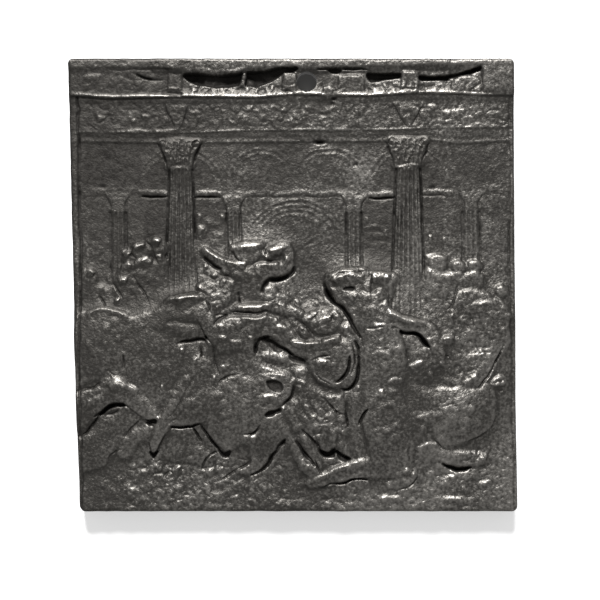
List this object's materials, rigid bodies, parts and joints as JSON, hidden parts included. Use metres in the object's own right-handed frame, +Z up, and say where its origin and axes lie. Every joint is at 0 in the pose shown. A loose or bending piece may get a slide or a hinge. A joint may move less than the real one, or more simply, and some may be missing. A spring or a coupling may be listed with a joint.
{
  "type": "relief plaque",
  "caption": "Nearly square cast metal plaquette with a low relief of a battle before a colonnade, drilled near its top edge to hang.",
  "frame": {"origin": "middle of the plain back, in the plane that meets the wall", "axes": "+X to the right as seen from the front, +Z up towards the hanging hole, -Y out of the carved face"},
  "size_m": [0.0599, 0.004, 0.0604],
  "materials": {
    "patinated_metal": "dark brown-black patina on cast bronze, satin, a little brighter where it is rubbed"
  },
  "bodies": {
    "root": {"plaque": "patinated_metal"}
  },
  "joints": []
}
